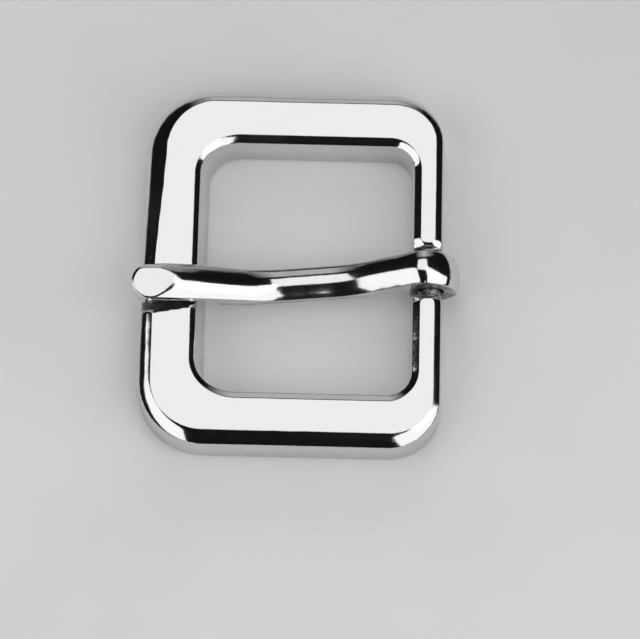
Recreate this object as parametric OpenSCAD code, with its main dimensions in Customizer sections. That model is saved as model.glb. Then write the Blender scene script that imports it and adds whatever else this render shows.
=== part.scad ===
// Heel bar buckle: a flat frame with a wide front bar, and a prong that swings on the heel bar.
// X runs from the front bar to the heel bar, Y runs across the strap, Z rises from the rest face.
// The origin is the middle of the frame's underside.

/* [Strap] */
// Width of the strap that the buckle is made for
strap_w = 25; // [24:0.5:26]
// Free play between the strap and the side bars, both sides together
strap_play = 1; // [0.8:0.1:1.6]
// Length of the window from the front bar to the heel bar
window_l = 20.9; // [20.5:0.1:22]

/* [Frame] */
// Height of the frame above its rest face
frame_h = 4.4; // [4.3:0.1:4.8]
// Width of the two side bars, seen from above
side_bar_w = 5.8; // [5:0.1:6.5]
// Width of the front bar that the prong's tip lies on
front_bar_w = 5.9; // [5.6:0.1:6.2]
// Width of the heel bar that the strap is folded round
heel_bar_w = 3.2; // [3.2:0.1:3.6]

/* [Flanks] */
// Width of the sloping flank round the outside, seen from above
outer_flank_w = 1; // [0.6:0.1:1.1]
// Drop of the outer flank from the face to the wall
outer_flank_h = 0.7; // [0.4:0.1:1]
// Width of the sloping flank round the window
window_flank_w = 0.6; // [0.4:0.1:0.8]
// Drop of the window's flank
window_flank_h = 0.45; // [0.3:0.05:0.6]

/* [Corners] */
// Outline radius of the two corners at the front bar
front_corner_r = 6.6; // [6:0.1:8]
// Outline radius of the two corners at the heel bar
heel_corner_r = 5.3; // [4.5:0.1:5.8]
// Radius of the window's two corners at the front bar
front_window_r = 3.2; // [2:0.1:4]
// Radius of the window's two corners at the heel bar
heel_window_r = 2.3; // [1.5:0.1:3]

/* [Hinge] */
// Diameter of the thin neck in the heel bar that carries the prong
neck_d = 2.3; // [2:0.1:2.3]
// Height of the neck's axis above the rest face
neck_z = 3.05; // [3.05:0.05:3.1]
// How far the neck's axis lies outside the heel bar's middle line
neck_shift = 0.4; // [0.2:0.05:0.4]
// Width of the gap between the heel bar's two shoulders
neck_gap_w = 5.25; // [5:0.05:6]
// How far the gap's middle lies off the frame's middle line
neck_gap_y = -0.35; // [-0.5:0.05:-0.2]
// Running clearance between the neck and the eye, on the radius
hinge_play = 0.06; // [0.03:0.01:0.1]

/* [Eye] */
// Outer diameter of the prong's eye
eye_d = 5.9; // [5.6:0.1:6]
// Width of the eye along the neck
eye_w = 3.5; // [3.2:0.1:3.8]
// Where the middle of the eye lies along the neck
eye_y = -0.35; // [-0.5:0.05:-0.2]

/* [Prong] */
// Radius of the arched top of the shank, seen from its end
arch_r = 2.4; // [2.3:0.05:2.6]
// Width of the shank
shank_w = 3.4; // [3.2:0.1:3.6]
// Thickness of the shank
shank_t = 2.2; // [2:0.1:2.4]
// Width of the tip
tip_w = 3.7; // [3.5:0.05:3.7]
// Thickness of the tip before its underside is rounded
tip_t = 3.6; // [3.4:0.1:4]
// Length from the neck's axis to the end of the tip
prong_l = 29.8; // [29:0.1:30.5]
// Angle between the prong and the frame's middle line, seen from above
prong_skew = 5.6; // [5:0.2:6]
// Where the prong's middle line crosses the neck
line_y = -0.14; // [-0.3:0.02:-0.1]

/* [Prong line] */
// Length of the level start over the eye
crest_l = 1.3; // [1.2:0.1:1.5]
// Distance from the neck at which the dip begins
dip_start_l = 8.12; // [7.8:0.1:8.5]
// Distance from the neck at which the dip ends
dip_end_l = 16.63; // [16.2:0.1:17]
// Height of the top line in the dip
dip_z = 3.4; // [3.3:0.1:3.7]
// Distance from the neck at which the steep rise ends
rise_end_l = 23.6; // [23.2:0.1:23.8]
// Height of the top line where the steep rise ends
rise_end_z = 6.33; // [6.2:0.05:6.4]
// Slope of the top line over the front bar
tip_slope = 12.4; // [11:0.2:13]
// Height of the flat facet on the tip, on the middle line
facet_z = 6.72; // [6.6:0.02:6.8]
// Sideways lean of the facet
facet_lean = 8; // [4:1:9]

/* [Notch] */
// Height of the notch's axis above the rest face
notch_z = 5; // [5:0.05:5.1]
// Diameter of the notch where it leaves the window
notch_inner_d = 3.9; // [3.9:0.05:4.2]
// Diameter of the notch at the front bar's outer face
notch_outer_d = 4.9; // [4.6:0.1:5.4]
// Diameter of the tip's rounded underside
keel_d = 3.74; // [3.72:0.01:3.76]

/* [Hidden] */
$fn = 96;
slack = 1;
window_w = strap_w + strap_play;
frame_w = window_w + 2 * side_bar_w;
frame_l = front_bar_w + window_l + heel_bar_w;
front_x = -frame_l / 2;
heel_x = frame_l / 2;
window_front_x = front_x + front_bar_w;
window_heel_x = heel_x - heel_bar_w;
neck_x = heel_x - heel_bar_w / 2 + neck_shift;
eye_r = eye_d / 2;
bore_r = neck_d / 2 + hinge_play;
seam = 0.012;
lap = 0.1;
crest_z = neck_z + eye_r - lap;
tip_r = tip_w / 2;
nose_l = prong_l - tip_r;
tip_end_l = prong_l + slack;
tip_end_z = rise_end_z + (tip_end_l - rise_end_l) * tan(tip_slope);
keel_start_l = 21.6;
widen_start_l = 18;
widen_end_l = 24;
line_corners = [[0, crest_z], [crest_l, crest_z], [dip_start_l, dip_z], [dip_end_l, dip_z],
                [rise_end_l, rise_end_z], [tip_end_l, tip_end_z]];
line_bends = [0, 2.6, 10, 10, 15, 0];
line_slopes = [for (i = [0:4]) atan2(line_corners[i + 1][1] - line_corners[i][1],
                                    line_corners[i + 1][0] - line_corners[i][0])];
line_backs = [for (i = [0:5]) (i == 0 || i == 5) ? 0
              : line_bends[i] * tan(abs(line_slopes[i] - line_slopes[i - 1]) / 2)];
notch_inner_l = neck_x - window_front_x - slack;
notch_outer_l = neck_x - front_x + slack;

// Section of a solid edge: depth from the middle to the wall, with a flank down from the face.
module solid_edge(depth) {
    polygon([[0, 0], [depth, 0], [depth, frame_h - outer_flank_h],
             [depth - outer_flank_w, frame_h], [0, frame_h]]);
}

// Section of a window's edge: a straight wall that opens out over the flank.
module window_edge(depth) {
    polygon([[0, -slack], [depth, -slack], [depth, frame_h - window_flank_h],
             [depth + window_flank_w, frame_h], [depth + window_flank_w, frame_h + slack],
             [0, frame_h + slack]]);
}

// A section of the chosen kind.
module edge_section(depth, is_window) {
    if (is_window) window_edge(depth);
    else solid_edge(depth);
}

// One rounded corner, which fills the quarter between +X and +Y.
module corner(corner_r, is_window) {
    rotate_extrude(angle = 90)
        edge_section(corner_r, is_window);
}

// One straight edge whose wall faces +X.
module straight_edge(edge_l, depth, is_window) {
    rotate([90, 0, 0])
        linear_extrude(edge_l, center = true)
            edge_section(depth, is_window);
}

// A block with four rounded corners and a flank round its top, laid out in tiles.
module rounded_block(x_front, x_heel, width, r_front, r_heel, is_window) {
    straight_l = x_heel - x_front - r_front - r_heel;
    straight_x = (x_front + r_front + x_heel - r_heel) / 2;
    rise = is_window ? frame_h + 2 * slack : frame_h;
    for (side = [-1, 1]) {
        translate([x_front + r_front, side * (width / 2 - r_front), 0])
            rotate([0, 0, side > 0 ? 90 : 180])
                corner(r_front, is_window);
        translate([x_heel - r_heel, side * (width / 2 - r_heel), 0])
            rotate([0, 0, side > 0 ? 0 : 270])
                corner(r_heel, is_window);
        translate([straight_x, side * (width / 2 - r_front), 0])
            rotate([0, 0, side * 90])
                straight_edge(straight_l, r_front, is_window);
    }
    translate([x_front + r_front, 0, 0])
        rotate([0, 0, 180])
            straight_edge(width - 2 * r_front, r_front, is_window);
    translate([x_heel - r_heel, 0, 0])
        straight_edge(width - 2 * r_heel, r_heel, is_window);
    translate([x_front + r_front, r_front - width / 2, is_window ? -slack : 0])
        cube([straight_l, width - 2 * r_front, rise]);
}

// Stands its children on the prong's own line, where X runs from the neck's axis to the tip.
module on_prong_line() {
    translate([neck_x, line_y, 0])
        rotate([0, 0, 180 + prong_skew])
            children();
}

// The groove in the front bar that the tip drops into, wider towards the outside.
module notch() {
    on_prong_line()
        translate([notch_inner_l, 0, notch_z])
            rotate([0, 90, 0])
                cylinder(h = notch_outer_l - notch_inner_l, d1 = notch_inner_d, d2 = notch_outer_d);
}

// The gap in the heel bar between its two shoulders.
module neck_gap() {
    translate([window_heel_x - slack, neck_gap_y - neck_gap_w / 2, -slack])
        cube([heel_bar_w + 2 * slack, neck_gap_w, frame_h + 2 * slack]);
}

// The round neck that joins the shoulders and carries the prong.
module neck() {
    translate([neck_x, neck_gap_y, neck_z])
        rotate([90, 0, 0])
            cylinder(h = neck_gap_w + 2 * slack, d = neck_d, center = true);
}

// The frame, one solid casting.
module frame() {
    color("silver") {
        difference() {
            rounded_block(front_x, heel_x, frame_w, front_corner_r, heel_corner_r, false);
            rounded_block(window_front_x, window_heel_x, window_w, front_window_r,
                          heel_window_r, true);
            notch();
            neck_gap();
        }
        neck();
    }
}

// The eye's section, from the axis out to its arched rim.
module eye_section() {
    intersection() {
        translate([eye_r - arch_r, 0])
            circle(arch_r);
        translate([0, -eye_w / 2])
            square([eye_r + slack, eye_w]);
    }
}

// The eye as a solid drum round the neck's axis, before it is bored.
module eye_drum() {
    translate([neck_x, eye_y, neck_z])
        rotate([90, 0, 0])
            rotate_extrude()
                eye_section();
}

// Section of the shank, where X is the height over the arch's axis and Y runs across.
module arch_section(thick, more) {
    intersection() {
        circle(arch_r + more);
        translate([arch_r - thick - more, -arch_r - slack])
            square([thick + slack, 2 * (arch_r + slack)]);
    }
}

// The straight piece after the given corner of the prong's top line.
module line_run(i) {
    slope = line_slopes[i];
    run_l = norm(line_corners[i + 1] - line_corners[i]) - line_backs[i] - line_backs[i + 1];
    thick = i == 4 ? tip_t : shank_t;
    translate([line_corners[i][0], 0, line_corners[i][1]])
        rotate([0, -slope, 0])
            translate([line_backs[i] - lap, 0, -arch_r])
                rotate([90, 0, 90])
                    linear_extrude(run_l + 2 * lap)
                        rotate(90)
                            arch_section(thick, 0);
}

// The bend at the given corner of the prong's top line.
module line_bend(i) {
    before = line_slopes[i - 1];
    turn = line_slopes[i] - before;
    side = turn > 0 ? 1 : -1;
    bend_r = line_bends[i];
    hub = line_corners[i] - line_backs[i] * [cos(before), sin(before)]
          + side * bend_r * [-sin(before), cos(before)];
    translate([hub[0], 0, hub[1]])
        rotate([90, 0, 0])
            rotate([0, 0, side > 0 ? before - 90 : before + 90 + turn])
                rotate_extrude(angle = abs(turn))
                    translate([bend_r + side * arch_r, 0])
                        mirror([side > 0 ? 1 : 0, 0])
                            arch_section(shank_t, seam);
}

// The prong's outline seen from above, as an upright block.
module prong_plan() {
    linear_extrude(2 * prong_l, center = true) {
        polygon([[-slack, -shank_w / 2], [widen_start_l, -shank_w / 2], [widen_end_l, -tip_r],
                 [nose_l, -tip_r], [nose_l, tip_r], [widen_end_l, tip_r],
                 [widen_start_l, shank_w / 2], [-slack, shank_w / 2]]);
        translate([nose_l, 0])
            circle(tip_r + seam);
    }
}

// The waste round the tip's rounded underside, which lies in the notch.
module keel_waste() {
    difference() {
        translate([keel_start_l, -2 * tip_w, 0])
            cube([prong_l, 4 * tip_w, notch_z]);
        translate([keel_start_l - slack, 0, notch_z])
            rotate([0, 90, 0])
                cylinder(h = prong_l, d = keel_d);
    }
}

// The waste above the tip's flat facet.
module facet_waste() {
    translate([widen_start_l, 0, facet_z])
        rotate([-facet_lean, 0, 0])
            translate([0, -2 * tip_w, 0])
                cube([prong_l, 4 * tip_w, 2 * tip_w]);
}

// The hole through the eye, a running fit on the neck.
module eye_bore() {
    translate([neck_x, eye_y, neck_z])
        rotate([90, 0, 0])
            cylinder(h = eye_w + 2 * slack, r = bore_r, center = true);
}

// The shank: down from the eye, through the dip, up to the front bar and over it.
module shank() {
    difference() {
        intersection() {
            union() {
                for (i = [0:4]) line_run(i);
                for (i = [1:4]) line_bend(i);
            }
            prong_plan();
        }
        facet_waste();
        keel_waste();
    }
}

// The prong, one solid piece.
module prong() {
    color("gainsboro")
        difference() {
            union() {
                eye_drum();
                on_prong_line()
                    shank();
            }
            eye_bore();
        }
}

frame();
prong();
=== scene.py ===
import math

import bpy
import numpy as np
from mathutils import Matrix, Vector


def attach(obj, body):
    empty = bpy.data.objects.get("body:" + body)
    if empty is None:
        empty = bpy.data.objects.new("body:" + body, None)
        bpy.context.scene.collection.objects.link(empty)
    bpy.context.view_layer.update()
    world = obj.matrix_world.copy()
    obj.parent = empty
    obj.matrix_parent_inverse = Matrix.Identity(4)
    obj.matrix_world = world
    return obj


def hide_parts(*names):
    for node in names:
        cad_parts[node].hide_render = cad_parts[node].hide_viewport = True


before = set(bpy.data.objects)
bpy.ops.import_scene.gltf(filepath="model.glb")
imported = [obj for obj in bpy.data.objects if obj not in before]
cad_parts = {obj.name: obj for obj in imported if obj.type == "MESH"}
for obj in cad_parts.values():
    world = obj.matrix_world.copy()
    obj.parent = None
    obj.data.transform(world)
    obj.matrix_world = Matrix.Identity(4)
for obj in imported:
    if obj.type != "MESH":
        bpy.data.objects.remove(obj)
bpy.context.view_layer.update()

mm = 0.001  # every length below is in millimetres, and the meshes are made in metres


def smooth(value, low, high):
    # 0 below low, 1 above high, and an even curve between them
    t = np.clip((value - low) / (high - low), 0, 1)
    return t * t * (3 - 2 * t)


# shapes are distances in millimetres: less than 0 inside the metal, more than 0 outside it

def cutRound(a, b, r):
    # what is inside both a and b, with a fillet of radius r along the meeting edge
    u = np.maximum(a + r, 0)
    v = np.maximum(b + r, 0)
    return np.minimum(np.maximum(a, b), -r) + np.sqrt(u * u + v * v)


def joinRound(a, b, r):
    # what is inside a or b, with a hollow fillet of radius r in the meeting corner
    return -cutRound(-a, -b, r)


def cutFillet(a, b, r, between):
    # as cutRound where the two faces aren't square: between is their directions' cosine
    u, v = a + r, b + r
    spread = 1 - between * between
    length = np.sqrt(np.maximum(u * u + v * v - 2 * u * v * between, 0) / spread)
    return np.where((u > v * between) & (v > u * between), length - r, np.maximum(a, b))


def bevelled(out, side, z, height, across, down, bow, soft, corner, draft):
    # a face at the given height, a sloping bowed flank across x down from the outline out = 0,
    # and a wall at side = 0
    lean = np.tan(np.radians(draft))
    slope = np.arctan2(down, across)
    foot = -(height - down) * lean
    half = np.hypot(across, down) / 2
    swing = np.arcsin(np.clip(half / bow, 0, 0.9))
    fromMiddle, rise = out - foot + across / 2, z - height + down / 2
    t = fromMiddle * np.cos(slope) - rise * np.sin(slope)
    n = fromMiddle * np.sin(slope) + rise * np.cos(slope) + bow * np.cos(swing)
    bend = np.clip(t / bow, -np.sin(swing), np.sin(swing))
    flank = t * bend + n * np.sqrt(1 - bend * bend) - bow
    body = cutFillet(z - height, flank, soft, np.cos(slope - swing))
    wall = (side + z * lean) * np.cos(np.radians(draft))
    return cutFillet(body, wall, corner, np.sin(slope + swing + np.radians(draft)))


def roundedPlan(x, y, xFront, xHeel, yBottom, yTop, rFront, rHeel):
    # distance to a rectangle seen from above with its own corner radii at each end,
    # and how much of each side's direction the outline has there: front, heel, bottom, top
    middleX, middleY = (xFront + xHeel) / 2, (yBottom + yTop) / 2
    r = np.where(x > middleX, rHeel, rFront)
    qx = np.abs(x - middleX) - (xHeel - xFront) / 2 + r
    qy = np.abs(y - middleY) - (yTop - yBottom) / 2 + r
    ax, ay = np.maximum(qx, 0), np.maximum(qy, 0)
    outside = np.hypot(ax, ay)
    share = np.where(outside > 0, ax ** 2 / np.maximum(outside, 1e-9) ** 2, qx > qy)
    toHeel, toTop = x > middleX, y > middleY
    sides = (share * ~toHeel, share * toHeel, (1 - share) * ~toTop, (1 - share) * toTop)
    return np.minimum(np.maximum(qx, qy), 0) + outside - r, sides


def bySide(values, sides):
    return sum(value * side for value, side in zip(values, sides))


# where there are four values, they are for the front, heel, bottom and top sides
frameSizes = {
    "xFront": -15.0, "xHeel": 15.0, "yBottom": -18.8, "yTop": 18.8, "height": 4.4,
    "frontCorner": 6.6, "heelCorner": 5.3,
    "windowFront": -8.6, "windowHeel": 11.8, "windowBottom": -13.1, "windowTop": 12.85,
    "windowFrontCorner": 3.2, "windowHeelCorner": 2.3,
    "outerAcross": (1.15, 0.55, 1.2, 1.2), "outerDown": (0.82, 0.42, 0.85, 0.85),
    "outerBow": (3.5, 6.0, 3.5, 8.0), "outerSoft": (0.5, 0.8, 1.2, 1.0),
    "outerCorner": (0.25, 0.3, 0.25, 0.25), "outerDraft": (1.0, 2.0, 0.5, 1.0),
    # the front flank gets wider by this share towards the upper corner
    "outerWiden": 0.8, "widenFromTo": (-3.0, 14.0), "widenRound": 0.6,
    "windowAcross": (0.45, 0.72, 0.8, 0.72), "windowDown": (0.34, 0.5, 0.5, 0.5),
    "windowBow": (6.0, 6.0, 6.0, 6.0), "windowSoft": (0.7, 0.7, 1.2, 0.7),
    "windowCorner": 0.25, "windowDraft": (12.0, 2.0, 3.0, 3.0),
    # the gap in the heel bar, and how much further back the rounding of the face starts at its
    # lower and upper side
    "gapFrom": 9.0, "gapMiddle": -0.175, "gapHalf": 2.225, "gapCorner": 0.3, "gapRound": 1.5,
    "gapFlank": (0.05, 0.3),
    "neckX": 13.8, "neckZ": 3.05, "neckRadius": 1.0, "neckReach": 0.3,
    # the notch: its radius at two distances from the neck, the height of its axis, and how
    # near to the neck it may come
    "notchInner": 1.95, "notchOuter": 2.45, "notchFromTo": (23.0, 29.5), "notchAxisZ": 5.0,
    "notchBegins": 15.0, "notchEdge": 0.3,
    "backEdge": 0.3,
    # the box that is searched for the surface, and the length of a face's side
    "within": ((-15.5, -19.2, -0.5), (15.5, 19.2, 4.9)), "cell": 0.2,
}

# distances along the prong are from the neck's axis towards the tip
prongSizes = {
    "lineY": -0.14, "skew": 5.6, "length": 29.8,
    "eyeY": -0.35, "eyeHalf": 1.75, "eyeRadius": 2.93, "eyeCrown": 4.5, "crestRadius": 3.8,
    "crestGap": 0.05, "boreRadius": 1.21, "boreEdge": 0.15,
    # the line of the arched top: its corners (distance, height) and the radii of its bends
    "topLine": ((0.87, 6.0), (1.37, 6.0), (8.12, 3.4), (16.63, 3.4), (23.6, 6.33),
                (29.8, 7.69)),
    "bends": (2.6, 10.0, 10.0, 15.0),
    "archRadius": 2.4, "tipArch": 3.0, "halfWidth": 1.7, "tipHalfWidth": 1.85,
    "sideCorner": 0.25, "thickness": 2.2, "tipThickness": 3.4, "bellyEdge": 0.6,
    # where the section changes: from the eye to the shank, and from the shank to the tip
    "turnFromTo": (0.0, 3.5), "crownFromTo": (-2.5, 3.5),
    "swellFromTo": (17.0, 24.0), "tipArchFromTo": (24.0, 27.5),
    # the tip's facet and the bevel beside it; "meets" is the cosine between the faces there
    "facetFrom": (25.4, 6.72), "facetSlope": 0.0, "facetRoll": 6.5, "facetEdge": 0.3,
    "facetMeets": 0.5,
    "bevelFrom": 1.3, "bevelFall": 44.0, "bevelEdge": 0.4, "bevelMeets": 0.6,
    "keelRadius": 1.85, "keelSpare": 1.5, "keelFromTo": (20.0, 22.3),
    # the fillet under the eye, and where it fades out
    "eyeBlend": 0.6, "blendTop": 5.2, "blendFade": 2.0, "blendFromTo": (0.5, 2.0),
    "leastBlend": 0.002,
    "within": ((-16.6, -5.2, -0.4), (17.0, 2.0, 7.5)), "cell": 0.13,
}


def alongProng(x, y):
    # distance from the neck's axis towards the tip, and across the prong
    s = prongSizes
    turn = math.radians(s["skew"])
    dx, dy = x - frameSizes["neckX"], y - s["lineY"]
    return (-dx * math.cos(turn) - dy * math.sin(turn),
            dx * math.sin(turn) - dy * math.cos(turn))


def notchShape(p):
    # the tapered groove in the front bar, and nothing of it at the heel bar
    s = frameSizes
    along, across = alongProng(p[..., 0], p[..., 1])
    start, stop = s["notchFromTo"]
    reach = (along - start) / (stop - start)
    radius = s["notchInner"] + (s["notchOuter"] - s["notchInner"]) * reach
    groove = np.hypot(across, p[..., 2] - s["notchAxisZ"]) - radius
    farAway = 5.0
    return np.where(along > s["notchBegins"], groove, farAway)


def frameShape(p):
    s = frameSizes
    x, y, z = p[..., 0], p[..., 1], p[..., 2]
    gap = np.maximum(np.abs(y - s["gapMiddle"]) - s["gapHalf"], s["gapFrom"] - x)
    rounded = -gap - np.where(y < s["gapMiddle"], *s["gapFlank"])
    plan, sides = roundedPlan(x, y, s["xFront"], s["xHeel"], s["yBottom"], s["yTop"],
                              s["frontCorner"], s["heelCorner"])
    across, down, bow, soft, corner, draft = (bySide(s["outer" + part], sides) for part in (
        "Across", "Down", "Bow", "Soft", "Corner", "Draft"))
    widen = 1 + (s["outerWiden"] * smooth(y, *s["widenFromTo"])
                 * sides[0] ** s["widenRound"])
    body = bevelled(cutRound(plan, rounded, s["gapRound"]),
                    cutRound(plan, -gap, s["gapCorner"]), z, s["height"],
                    across * widen, down * widen, bow, soft, corner, draft)
    window, sides = roundedPlan(x, y, s["windowFront"], s["windowHeel"], s["windowBottom"],
                                s["windowTop"], s["windowFrontCorner"], s["windowHeelCorner"])
    across, down, bow, soft, draft = (bySide(s["window" + part], sides) for part in (
        "Across", "Down", "Bow", "Soft", "Draft"))
    rim = bevelled(cutRound(-window, rounded, s["gapRound"]),
                   cutRound(-window, -gap, s["gapCorner"]), z, s["height"], across, down, bow,
                   soft, s["windowCorner"], draft)
    body = np.maximum(body, rim)
    body = cutRound(body, -z, s["backEdge"])
    body = cutRound(body, -notchShape(p), s["notchEdge"])
    # the neck across the gap
    neck = np.hypot(x - s["neckX"], z - s["neckZ"]) - s["neckRadius"]
    neck = np.maximum(neck, np.abs(y - s["gapMiddle"]) - s["gapHalf"] - s["neckReach"])
    return np.minimum(body, neck)


def bentLine(corners, bends, drop):
    # straight pieces and arcs of a line that lies drop below the given one
    corners = [np.array(c, float) for c in corners]
    runs = [(b - a) / np.linalg.norm(b - a) for a, b in zip(corners, corners[1:])]
    # before the first corner the line comes up round the eye
    crest = prongSizes["crestRadius"]
    pieces = [("arc", corners[0] - (0, crest), -1, crest - drop, math.pi, math.pi)]
    start = corners[0] + drop * np.array([runs[0][1], -runs[0][0]])
    for i, run in enumerate(runs):
        below = np.array([run[1], -run[0]]) * drop
        stop = corners[i + 1] + below
        if i < len(bends):
            turn = math.atan2(run[0] * runs[i + 1][1] - run[1] * runs[i + 1][0],
                              float(run @ runs[i + 1]))
            back = bends[i] * math.tan(abs(turn) / 2)
            stop = corners[i + 1] - run * back + below
        pieces.append(("run", start, run, float((stop - start) @ run)))
        if i < len(bends):
            side = 1 if turn > 0 else -1  # 1 where the line turns upwards
            hub = corners[i + 1] - run * back + side * bends[i] * np.array([-run[1], run[0]])
            pieces.append(("arc", hub, side, bends[i] + side * drop,
                           math.atan2(run[1], run[0]), abs(turn)))
            start = corners[i + 1] + runs[i + 1] * back + drop * np.array(
                [runs[i + 1][1], -runs[i + 1][0]])
    return pieces


def liftFrom(pieces, along, z):
    # height over the line, square to it
    endless, beyondPenalty = 1e9, 100
    lift, best = np.zeros_like(along), np.full_like(along, endless)
    for i, piece in enumerate(pieces):
        if piece[0] == "run":
            _, start, run, length = piece
            t = (along - start[0]) * run[0] + (z - start[1]) * run[1]
            n = (z - start[1]) * run[0] - (along - start[0]) * run[1]
            if i == len(pieces) - 1:
                length = endless
        else:
            _, hub, side, radius, heading, turn = piece
            dx, dz = along - hub[0], z - hub[1]
            n = side * (radius - np.hypot(dx, dz))
            facing = math.atan2(-side * math.cos(heading), side * math.sin(heading))
            swept = side * ((np.arctan2(dz, dx) - facing + math.pi) % (2 * math.pi) - math.pi)
            t, length = swept * radius, turn * radius
        # the nearest piece wins, and one whose ends the point lies beyond hardly ever does
        beyond = np.maximum(np.maximum(-t, t - length), 0)
        score = np.abs(n) + beyondPenalty * beyond
        lift, best = np.where(score < best, n, lift), np.minimum(score, best)
    return lift


def prongShape(p):
    s = prongSizes
    x, y, z = p[..., 0], p[..., 1], p[..., 2]
    along, across = alongProng(x, y)
    # over the neck the section lies square to the eye, and further on to the skewed line
    ahead = frameSizes["neckX"] - x
    turned = smooth(ahead, *s["turnFromTo"])
    along = ahead + (along - ahead) * turned
    across = (s["eyeY"] - y) * (1 - turned) + across * turned
    swell = smooth(along, *s["swellFromTo"])
    half = (s["eyeHalf"] + (s["halfWidth"] - s["eyeHalf"]) * turned
            + (s["tipHalfWidth"] - s["halfWidth"]) * swell)
    radius = (s["eyeCrown"]
              + (s["archRadius"] - s["eyeCrown"]) * smooth(along, *s["crownFromTo"])
              + (s["tipArch"] - s["archRadius"]) * smooth(along, *s["tipArchFromTo"]))
    end = s["length"] - s["tipHalfWidth"]
    lift = liftFrom(bentLine(s["topLine"], s["bends"], s["archRadius"]),
                    np.minimum(along, end), z)
    lift = lift - s["archRadius"] + radius
    aside = np.where(along > end, np.hypot(along - end, across), np.abs(across))
    arch = np.hypot(aside, lift) - radius
    arch = np.where(lift > 0, arch, aside - radius)
    shank = cutFillet(arch, aside - half, s["sideCorner"], half / radius)
    deep = s["thickness"] + (s["tipThickness"] - s["thickness"]) * swell
    shank = cutRound(shank, radius - deep - lift, s["bellyEdge"] * (1 + swell))
    # the flat facet on the tip, and the bevel beside it
    tilt, roll = math.radians(s["facetSlope"]), math.radians(s["facetRoll"])
    facetAlong, facetZ = s["facetFrom"]
    facet = ((along - facetAlong) * math.sin(tilt) * math.cos(roll)
             + across * math.sin(roll)
             + (z - facetZ) * math.cos(tilt) * math.cos(roll))
    shank = cutFillet(shank, facet, s["facetEdge"], s["facetMeets"])
    fall = math.radians(s["bevelFall"])
    edge = facetZ + s["bevelFrom"] * math.tan(roll)
    bevel = (-across - s["bevelFrom"]) * math.sin(fall) + (z - edge) * math.cos(fall)
    shank = cutFillet(shank, bevel, s["bevelEdge"], s["bevelMeets"])
    # the rounded underside that lies in the notch
    keel = s["keelRadius"] + s["keelSpare"] * (1 - smooth(along, *s["keelFromTo"]))
    below = np.minimum(z - frameSizes["notchAxisZ"], 0)
    shank = np.maximum(shank, np.hypot(across, below) - keel)
    # the eye round the neck, crowned as the shank is there
    ring = np.hypot(x - frameSizes["neckX"], z - frameSizes["neckZ"])
    beside = np.abs(y - s["eyeY"])
    crestAlong, crestZ = s["topLine"][0]
    crest = np.hypot(ahead - crestAlong, z - crestZ + s["crestRadius"])
    rim = np.maximum(ring - s["eyeRadius"], crest - s["crestRadius"] + s["crestGap"])
    crown = np.hypot(rim + s["eyeCrown"], beside) - s["eyeCrown"]
    eye = cutFillet(crown, beside - s["eyeHalf"], s["sideCorner"],
                    s["eyeHalf"] / s["eyeCrown"])
    # the fillet between them fades out where one runs into the other
    blend = (s["eyeBlend"] * smooth(s["blendTop"] - z, 0.0, s["blendFade"])
             * smooth(ahead, *s["blendFromTo"]))
    body = joinRound(shank, eye, blend + s["leastBlend"])
    return cutRound(body, s["boreRadius"] - ring, s["boreEdge"])


def surfaceNet(shape, low, high, cell):
    # one point in each cell that the surface crosses, one face round each grid edge it cuts
    low, high = np.array(low, float), np.array(high, float)
    counts = np.ceil((high - low) / cell).astype(int) + 1
    axes = [low[i] + cell * np.arange(counts[i]) for i in range(3)]
    grid = np.stack(np.meshgrid(*axes, indexing="ij"), axis=-1)
    value = shape(grid)
    inside = value < 0
    nx, ny, nz = counts - 1
    corners = [(i, j, k) for i in (0, 1) for j in (0, 1) for k in (0, 1)]
    filled = sum(inside[i:i + nx, j:j + ny, k:k + nz].astype(np.int8) for i, j, k in corners)
    active = (filled > 0) & (filled < 8)
    cells = np.argwhere(active)
    index = -np.ones(active.shape, np.int64)
    index[active] = np.arange(len(cells))
    total, hits = np.zeros((len(cells), 3)), np.zeros(len(cells))
    for a in corners:
        for axis in range(3):
            if a[axis]:
                continue
            b = np.array(a)
            b[axis] = 1
            va = value[tuple((cells + a).T)]
            vb = value[tuple((cells + b).T)]
            cut = (va < 0) != (vb < 0)
            t = np.where(cut, va / np.where(va == vb, 1, va - vb), 0)
            point = (cells + a).astype(float)
            point[:, axis] += t
            total[cut] += point[cut]
            hits[cut] += 1
    points = low + cell * total / hits[:, None]
    quads = []
    for axis in range(3):
        one, two = [(1, 2), (2, 0), (0, 1)][axis]
        first = [slice(1, -1)] * 3
        first[axis] = slice(0, -1)
        second = list(first)
        second[axis] = slice(1, None)
        a, b = inside[tuple(first)], inside[tuple(second)]
        start = np.ones(3, int)
        start[axis] = 0
        for turned, found in ((False, a & ~b), (True, ~a & b)):
            at = np.argwhere(found) + start
            ring = []
            for du, dv in ((0, 0), (-1, 0), (-1, -1), (0, -1)):
                c = at.copy()
                c[:, one] += du
                c[:, two] += dv
                ring.append(index[tuple(c.T)])
            ring = np.stack(ring, axis=1)
            quads.append(ring[:, ::-1] if turned else ring)  # faces point outwards
    return points, np.concatenate(quads)


def slopeOf(shape, points, step=0.004):
    # which way the distance grows at each point, from the shape a short step to either side
    out = np.empty_like(points)
    for axis in range(3):
        d = np.zeros(3)
        d[axis] = step
        out[:, axis] = (shape(points + d) - shape(points - d)) / (2 * step)
    return out


def settle(shape, points, quads, rounds=6, evenOut=0.5, leastSize=0.05):
    # evens the faces out and lays every point exactly on the surface
    a = quads.ravel()
    b = np.roll(quads, -1, axis=1).ravel()
    for turn in range(rounds):
        total, hits = np.zeros_like(points), np.zeros(len(points))
        for i, j in ((a, b), (b, a)):
            for axis in range(3):
                total[:, axis] += np.bincount(i, points[j, axis], len(points))
            hits += np.bincount(i, minlength=len(points))
        points = points + evenOut * (total / hits[:, None] - points)
        for again in range(2):
            slope = slopeOf(shape, points)
            size = np.maximum((slope ** 2).sum(axis=1), leastSize)
            points = points - slope * (shape(points) / size)[:, None]
    return points


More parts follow.
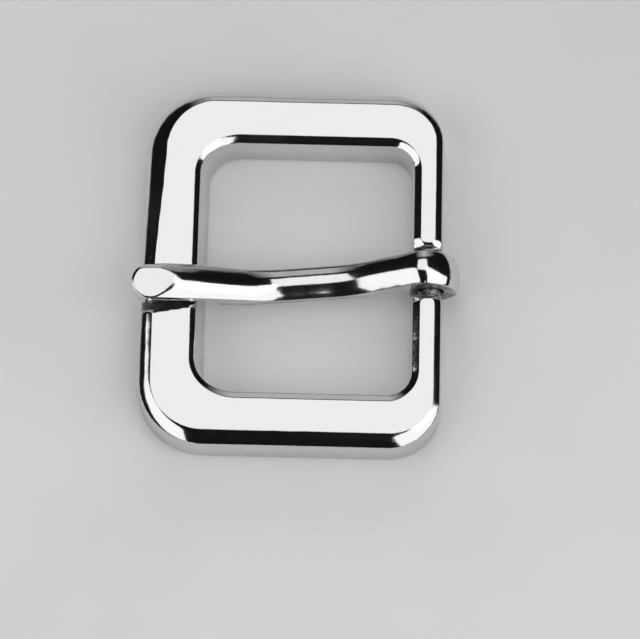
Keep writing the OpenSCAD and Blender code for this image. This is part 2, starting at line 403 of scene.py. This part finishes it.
def makePiece(name, shape, sizes):
    # a mesh whose corners and shading both come from the shape itself
    coarser = 1
    points, quads = surfaceNet(shape, *sizes["within"], sizes["cell"] * coarser)
    points = settle(shape, points, quads)
    slope = slopeOf(shape, points)
    normals = slope / np.linalg.norm(slope, axis=1, keepdims=True)
    mesh = bpy.data.meshes.new(name)
    mesh.from_pydata((points * mm).tolist(), [], quads.tolist())
    mesh.validate()
    mesh.shade_smooth()
    mesh.normals_split_custom_set_from_vertices(normals.tolist())
    piece = bpy.data.objects.new(name, mesh)
    bpy.context.collection.objects.link(piece)
    print(name, "points", len(points), "faces", len(quads))
    return piece


framePiece = makePiece("castFrame", frameShape, frameSizes)
prongPiece = makePiece("castProng", prongShape, prongSizes)
print("shapes made")

# where the polishing wheel didn't reach, which are also the hollows and undersides where shade
# falls, so the darker grey there is partly painted shade; each "Fade" is how wide the change
# is
castAndShadeAreas = {
    "notchReach": 0.2, "notchFade": 0.15, "notchTop": 4.2, "notchTopFade": 0.3,
    "gapFrom": 11.0, "gapReach": 0.05, "gapFade": 0.1,
    "wallTop": 2.6, "wallFade": 1.6, "wallShare": 0.2,
    "bellyTop": 3.0, "bellyRise": 1.6, "bellyFade": 1.2, "bellyFromTo": (2.0, 4.0),
    "eyeEndFromTo": (1.66, 1.74), "eyeEndTo": 2.2,
}


def markCastAndShade(piece, share):
    # how far each point lies on rough cast skin, whose darker grey is partly painted shade, 0
    # to 1
    points = np.empty(len(piece.data.vertices) * 3)
    piece.data.vertices.foreach_get("co", points)
    marks = piece.data.attributes.new("castAndShade", "FLOAT", "POINT")
    marks.data.foreach_set("value", share(points.reshape(-1, 3) / mm).astype(np.float32))


def frameCastAndShade(p):
    # the notch and the gap between the shoulders, cast skin with painted shade in these
    # hollows, and a little of the walls low down, darker towards the floor
    s = castAndShadeAreas
    x, y, z = p[:, 0], p[:, 1], p[:, 2]
    notch = (smooth(s["notchReach"] - notchShape(p), 0.0, s["notchFade"])
             * smooth(s["notchTop"] - z, 0.0, s["notchTopFade"]))
    fromMiddle = np.abs(y - frameSizes["gapMiddle"])
    gap = (x > s["gapFrom"]) * smooth(frameSizes["gapHalf"] + s["gapReach"] - fromMiddle,
                                      -s["gapFade"], s["gapFade"])
    low = s["wallShare"] * smooth(s["wallTop"] - z, 0.0, s["wallFade"])
    return np.maximum(np.maximum(notch, gap), low)


def prongCastAndShade(p):
    # the underside and the eye's two end faces: cast skin, and painted shade under the prong
    # and on the end faces that face the shoulders
    s = castAndShadeAreas
    y, z = p[:, 1], p[:, 2]
    along = alongProng(p[:, 0], y)[0]
    top = s["bellyTop"] + s["bellyRise"] * smooth(along, *prongSizes["swellFromTo"])
    under = smooth(top - z, 0.0, s["bellyFade"]) * smooth(along, *s["bellyFromTo"])
    beside = np.abs(y - prongSizes["eyeY"])
    ends = smooth(beside, *s["eyeEndFromTo"]) * (along < s["eyeEndTo"])
    return np.maximum(under, ends)


markCastAndShade(framePiece, frameCastAndShade)
markCastAndShade(prongPiece, prongCastAndShade)
print("cast skin marked")


def fromHex(text):
    # an sRGB hex colour as linear RGBA
    value = [int(text[i:i + 2], 16) / 255 for i in (1, 3, 5)]
    return tuple(v / 12.92 if v <= 0.04045 else ((v + 0.055) / 1.055) ** 2.4
                 for v in value) + (1,)


def addNode(tree, kind, inputs=None, **settings):
    # a new node with its settings; an input is a value, or a socket to link from
    node = tree.nodes.new("ShaderNode" + kind)
    for key, value in settings.items():
        setattr(node, key, value)
    for key, value in (inputs or {}).items():
        if isinstance(value, bpy.types.NodeSocket):
            tree.links.new(value, node.inputs[key])
        else:
            node.inputs[key].default_value = value
    return node


platingLook = {
    # the second colour is the cast skin's grey, darkened further as painted shade for the gap,
    # the notch and under the prong
    "colour": "#DBDCDE", "castAndShadeColour": "#7F8083",
    "roughness": 0.09, "castRoughness": 0.3,
    # soft patterns: how wide a lump is in millimetres, the detail and the seed; the plating's
    # own grain is under 0.05 mm, too fine to show, so it is drawn coarser
    "patterns": {"wave": (4.5, 1.0, 1.0), "peel": (0.8, 1.0, 2.0), "grain": (0.3, 1.0, 3.0),
                 "castLump": (0.45, 3.0, 4.0), "castAndShadePatch": (1.5, 3.0, 5.0),
                 "smudge": (7.0, 3.0, 9.0)},
    "waveDepth": 0.09, "peelDepth": 0.009, "grainDepth": 0.0015, "castDepth": 0.02,
    "castAndShadePatchFromTo": (0.3, 0.6), "castAndShadePatchLeast": 0.4,
    "smudge": 0.05, "smudgeFromTo": (0.45, 0.75),
    "pitSpacing": 1.7, "pitRadius": 0.07, "pitDepth": 0.02, "pitShare": 0.35,
    # the direction in degrees and the seed of each set of scratches; real ones are a few
    # hundredths of a millimetre wide, too fine to show, so they are drawn coarser
    "scratchSets": ((12.0, 7.0), (78.0, 11.0)),
    "scratchWidth": 0.12, "scratchLength": 6.0, "scratchDepth": 0.0009,
    "scratchFromTo": (0.7, 0.74), "scratchPatch": 4.0, "scratchPatchFromTo": (0.5, 0.6),
}


def scratchSet(tree, coords, look, turn, seed):
    # long thin lines in one direction, broken up by a wide noise
    turned = addNode(tree, "Mapping", {
        "Vector": coords, "Rotation": (0.0, 0.0, math.radians(turn)),
        "Scale": (look["scratchWidth"] / look["scratchLength"], 1.0, 0.3)})
    shares = []
    for vector, length, detail, w, (low, high) in (
            (turned.outputs[0], look["scratchWidth"], 0.0, seed, look["scratchFromTo"]),
            (coords, look["scratchPatch"], 1.0, seed + 3, look["scratchPatchFromTo"])):
        noise = addNode(tree, "TexNoise", {
            "Vector": vector, "W": w, "Scale": 1 / (length * mm), "Detail": detail,
            "Roughness": 0.5}, noise_dimensions="4D")
        share = addNode(tree, "MapRange", {
            "Value": noise.outputs["Fac"], "From Min": low, "From Max": high, "To Min": 0.0,
            "To Max": 1.0}, interpolation_type="SMOOTHSTEP")
        shares.append(share.outputs["Result"])
    return addNode(tree, "Math", {0: shares[0], 1: shares[1]}, operation="MULTIPLY").outputs[0]


def platedZinc(look):
    # nickel over polished die-cast zinc: a mirror that waves a little, as the thin plating
    # follows the casting under it, so the edges of reflections wander; places that weren't
    # polished look grey and rough, and their darker grey is also painted shade in the gap,
    # the notch and under the prong
    material = bpy.data.materials.new("nickel-plated die-cast zinc")
    material.use_nodes = True
    tree = material.node_tree
    tree.nodes.clear()
    coords = addNode(tree, "TexCoord").outputs["Object"]
    # the cast skin's share, which also marks where the darker grey is painted shade
    cast = addNode(tree, "Attribute", attribute_name="castAndShade").outputs["Fac"]
    pattern = {}
    for name, (length, detail, seed) in look["patterns"].items():
        pattern[name] = addNode(tree, "TexNoise", {
            "Vector": coords, "W": seed, "Scale": 1 / (length * mm), "Detail": detail,
            "Roughness": 0.5}, noise_dimensions="4D").outputs["Fac"]
    low, high = look["castAndShadePatchFromTo"]
    patches = addNode(tree, "MapRange", {
        "Value": pattern["castAndShadePatch"], "From Min": low, "From Max": high,
        "To Min": look["castAndShadePatchLeast"], "To Max": 1.0}, interpolation_type="SMOOTHSTEP")
    castAndShadeShare = addNode(tree, "Math", {0: cast, 1: patches.outputs["Result"]},
                     operation="MULTIPLY").outputs[0]
    lumps = addNode(tree, "Math", {0: pattern["castLump"], 1: castAndShadeShare}, operation="MULTIPLY")

    # a few small round pits
    pits = addNode(tree, "TexVoronoi", {
        "Vector": coords, "Scale": 1 / (look["pitSpacing"] * mm)})
    bowl = addNode(tree, "MapRange", {
        "Value": pits.outputs["Distance"], "From Min": 0.0,
        "From Max": look["pitRadius"] / look["pitSpacing"], "To Min": 1.0, "To Max": 0.0},
        interpolation_type="SMOOTHSTEP")
    chance = addNode(tree, "SeparateColor", {"Color": pits.outputs["Color"]})
    chosen = addNode(tree, "Math", {0: chance.outputs[0], 1: look["pitShare"]},
                     operation="LESS_THAN")
    deep = addNode(tree, "Math", {0: bowl.outputs["Result"], 1: chosen.outputs[0]},
                   operation="MULTIPLY")

    one, other = (scratchSet(tree, coords, look, *values) for values in look["scratchSets"])
    scratches = addNode(tree, "Math", {0: one, 1: other}, operation="MAXIMUM")

    # all their heights in millimetres, added up
    height = 0.0
    for share, depth in ((pattern["wave"], look["waveDepth"]),
                         (pattern["peel"], look["peelDepth"]),
                         (pattern["grain"], look["grainDepth"]),
                         (lumps.outputs[0], look["castDepth"]),
                         (deep.outputs[0], -look["pitDepth"]),
                         (scratches.outputs[0], -look["scratchDepth"])):
        height = addNode(tree, "Math", {0: share, 1: depth, 2: height},
                         operation="MULTIPLY_ADD").outputs[0]
    bump = addNode(tree, "Bump", {"Strength": 1.0, "Distance": mm, "Height": height})

    # duller where it is cast, and a little where it was touched
    low, high = look["smudgeFromTo"]
    smudge = addNode(tree, "MapRange", {
        "Value": pattern["smudge"], "From Min": low, "From Max": high, "To Min": 0.0,
        "To Max": look["smudge"]}, interpolation_type="SMOOTHSTEP")
    dull = addNode(tree, "Math", {0: castAndShadeShare, 1: look["castRoughness"], 2: look["roughness"]},
                   operation="MULTIPLY_ADD")
    roughness = addNode(tree, "Math", {0: dull.outputs[0], 1: smudge.outputs["Result"]},
                        operation="ADD")
    # the darker grey on the cast skin is partly painted shade in the gap, the notch, low on
    # the walls and under the prong
    colour = addNode(tree, "Mix", {
        "Factor": castAndShadeShare, 6: fromHex(look["colour"]), 7: fromHex(look["castAndShadeColour"])},
        data_type="RGBA")
    shader = addNode(tree, "BsdfPrincipled", {
        "Base Color": colour.outputs[2], "Metallic": 1.0, "Roughness": roughness.outputs[0],
        "Normal": bump.outputs["Normal"]})
    addNode(tree, "OutputMaterial", {"Surface": shader.outputs["BSDF"]})
    return material


plating = platedZinc(platingLook)
for piece in (framePiece, prongPiece):
    piece.data.materials.append(plating)
print("plating made")

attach(framePiece, "buckle_frame")
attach(prongPiece, "buckle_prong")
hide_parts("frame")
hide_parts("prong")

floorLook = {
    "half": 3000.0, "colour": "#F3F3F3", "darker": "#EEEEEE", "roughness": 0.9,
    # real fibres are some 0.03 mm wide, too fine to show, so they are drawn coarser
    "fibre": 0.35, "fibreDepth": 0.012, "cloud": 25.0, "cloudFromTo": (0.3, 0.7),
}


def paperFloor(look):
    # a wide sheet of pale matt paper: fibres give it a faint tooth, and it is a little cloudy
    half = look["half"] * mm
    mesh = bpy.data.meshes.new("floor")
    mesh.from_pydata([(-half, -half, 0), (half, -half, 0), (half, half, 0), (-half, half, 0)],
                     [], [(0, 1, 2, 3)])
    sheet = bpy.data.objects.new("floor", mesh)
    bpy.context.collection.objects.link(sheet)
    material = bpy.data.materials.new("uncoated white paper")
    material.use_nodes = True
    tree = material.node_tree
    tree.nodes.clear()
    coords = addNode(tree, "TexCoord").outputs["Object"]
    clouds, fibres = (addNode(tree, "TexNoise", {
        "Vector": coords, "W": seed, "Scale": 1 / (length * mm), "Detail": detail,
        "Roughness": 0.5}, noise_dimensions="4D").outputs["Fac"]
        for length, detail, seed in ((look["cloud"], 2.0, 1.0), (look["fibre"], 3.0, 2.0)))
    low, high = look["cloudFromTo"]
    share = addNode(tree, "MapRange", {
        "Value": clouds, "From Min": low, "From Max": high, "To Min": 0.0, "To Max": 1.0},
        interpolation_type="SMOOTHSTEP")
    colour = addNode(tree, "Mix", {
        "Factor": share.outputs["Result"], 6: fromHex(look["colour"]),
        7: fromHex(look["darker"])}, data_type="RGBA")
    height = addNode(tree, "Math", {0: fibres, 1: look["fibreDepth"]}, operation="MULTIPLY")
    bump = addNode(tree, "Bump", {"Strength": 1.0, "Distance": mm,
                                  "Height": height.outputs[0]})
    shader = addNode(tree, "BsdfPrincipled", {
        "Base Color": colour.outputs[2], "Roughness": look["roughness"],
        "Normal": bump.outputs["Normal"]})
    addNode(tree, "OutputMaterial", {"Surface": shader.outputs["BSDF"]})
    mesh.materials.append(material)
    return sheet


paperFloor(floorLook)
print("paper laid")

# each softbox by one corner, the two edges from it, and how brightly its face glows
softboxes = {
    "softboxOverhead": ((-255, 36, 600), (405, 0, 0), (0, 522, 0), 1.17),
    "softboxRight": ((108, 6, 600), (0, -520, 0), (72, 0, -560), 1.3),
    "softboxCorner": ((108, 165, 600), (52, -162, -500), (0, -162, 52.5), 1.3),
    "softboxBehind": ((-160, 190, 60), (320, 0, 0), (0, 60, 200), 1.2),
    "softboxLeft": ((-285, 52, 600), (0, -520, 0), (130, 0, -545), 1.3),
}


def softbox(name, corner, alongEdge, upEdge, glow):
    corner, alongEdge, upEdge = Vector(corner), Vector(alongEdge), Vector(upEdge)
    light = bpy.data.lights.new(name, "AREA")
    light.shape = "RECTANGLE"
    light.size, light.size_y = alongEdge.length * mm, upEdge.length * mm
    light.energy = glow * math.pi * light.size * light.size_y
    lamp = bpy.data.objects.new(name, light)
    bpy.context.collection.objects.link(lamp)
    right, up = alongEdge.normalized(), upEdge.normalized()
    centre = (corner + alongEdge / 2 + upEdge / 2) * mm
    # an area light shines along its own -Z, so its back is turned away from the object
    facing = right.cross(up)
    if facing.dot(centre) < 0:
        right, facing = -right, -facing
    lamp.matrix_world = Matrix.Translation(centre) @ Matrix(
        (right, up, facing)).transposed().to_4x4()
    lamp.visible_camera = False
    return lamp


lamps = {name: softbox(name, *values) for name, values in softboxes.items()}
lamps["softboxCorner"].visible_diffuse = False  # only seen in the metal
lamps["softboxBehind"].visible_glossy = False  # only lights the paper

# black between the softboxes, and a grey paper sweep behind the object, which runs up from the
# horizon on the +Y side and darkens towards its own sides
studioLook = {
    "dark": 0.008, "sweep": 0.55, "sweepFromTo": (0.78, 0.82), "sidesFromTo": (0.05, 0.4),
    "pale": 0.6,
}


def studioWorld(look):
    world = bpy.data.worlds.new("studio")
    world.use_nodes = True
    tree = world.node_tree
    tree.nodes.clear()
    lightPath = addNode(tree, "LightPath")
    coords = addNode(tree, "TexCoord")
    parts = addNode(tree, "SeparateXYZ", {0: coords.outputs["Generated"]})
    sweep = addNode(tree, "MapRange", {
        "Value": parts.outputs["Y"], "From Min": look["sweepFromTo"][0],
        "From Max": look["sweepFromTo"][1], "To Min": 0.0, "To Max": look["sweep"]})
    aside = addNode(tree, "Math", {0: parts.outputs["X"]}, operation="ABSOLUTE")
    fade = addNode(tree, "MapRange", {
        "Value": aside.outputs[0], "From Min": look["sidesFromTo"][0],
        "From Max": look["sidesFromTo"][1], "To Min": 1.0, "To Max": 0.0})
    grey = addNode(tree, "Math", {0: sweep.outputs[0], 1: fade.outputs[0], 2: look["dark"]},
                   operation="MULTIPLY_ADD")
    studio = addNode(tree, "Background", {"Color": grey.outputs[0], "Strength": 1.0})
    pale = addNode(tree, "Background", {"Color": (look["pale"],) * 3 + (1,), "Strength": 1.0})
    # the eye sees pale paper past the floor's edge, and the metal sees the dark studio
    mix = addNode(tree, "MixShader", {
        0: lightPath.outputs["Is Camera Ray"], 1: studio.outputs[0], 2: pale.outputs[0]})
    addNode(tree, "OutputWorld", {"Surface": mix.outputs[0]})
    return world


bpy.context.scene.world = studioWorld(studioLook)
bpy.context.scene.view_settings.view_transform = "Standard"
print("studio lit")

# tilt is off straight above, towards -Y; degrees
cameraView = {
    "lens": 225.0, "sensor": 36.0, "distance": 400.0, "tilt": 20.0, "roll": 1.35,
    "target": (2.83, -4.17, 0.0),
}


def placeCamera(view):
    camera = bpy.data.cameras.new("camera")
    camera.lens = view["lens"]
    camera.sensor_width = view["sensor"]
    cameraObject = bpy.data.objects.new("camera", camera)
    bpy.context.collection.objects.link(cameraObject)
    tilt = math.radians(view["tilt"])
    back = Vector((0, -math.sin(tilt), math.cos(tilt)))
    right = Vector((1, 0, 0))
    up = back.cross(right)
    turned = Matrix.Rotation(math.radians(view["roll"]), 3, back)
    place = (Vector(view["target"]) + back * view["distance"]) * mm
    cameraObject.matrix_world = Matrix.Translation(place) @ Matrix(
        (turned @ right, turned @ up, back)).transposed().to_4x4()
    return cameraObject


bpy.context.scene.camera = placeCamera(cameraView)
print("camera placed")
